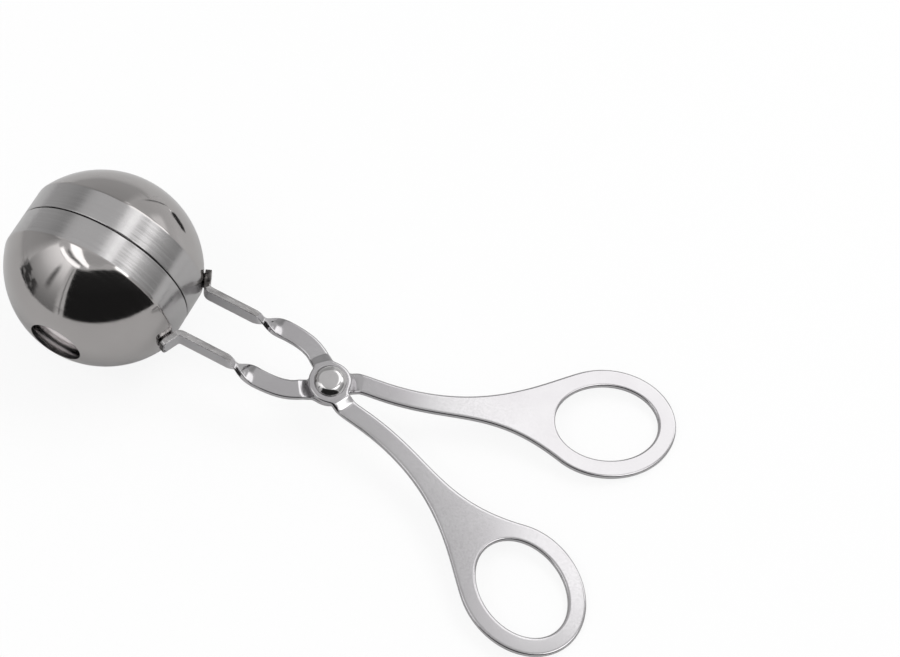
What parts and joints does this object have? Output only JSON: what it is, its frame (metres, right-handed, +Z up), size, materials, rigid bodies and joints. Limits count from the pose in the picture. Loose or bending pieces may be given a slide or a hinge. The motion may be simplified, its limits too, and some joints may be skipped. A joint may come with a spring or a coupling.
{
  "type": "meatball scoop",
  "caption": "Scissor-action meatball scoop in polished steel: bowls on crossed, twisted strip levers close into a ball with open poles, and oval finger rings work them.",
  "frame": {"origin": "bottom centre of the bounding box, on the table that the closed scoop lies on", "axes": "+X from the ball to the finger rings, +Y to the side of the upper lever's bowl, +Z up from the table"},
  "size_m": [0.1592, 0.0756, 0.045],
  "materials": {
    "lever_steel": "polished stamping with rolled edges",
    "bowl_steel": "mirror-polished cap, finely brushed band",
    "rivet_steel": "bright"
  },
  "bodies": {
    "lower_half": {"lower_lever": "lever_steel", "lower_bowl": "bowl_steel", "pivot_rivet": "rivet_steel"},
    "upper_half": {"upper_lever": "lever_steel", "upper_bowl": "bowl_steel"}
  },
  "joints": [
    {"name": "pivot", "type": "hinge", "parent": "lower_half", "child": "upper_half", "pos_m": [0.00267, 0, 0.013], "axis": [-0.157, 0, -0.9876], "range_deg": [0, 50]}
  ]
}
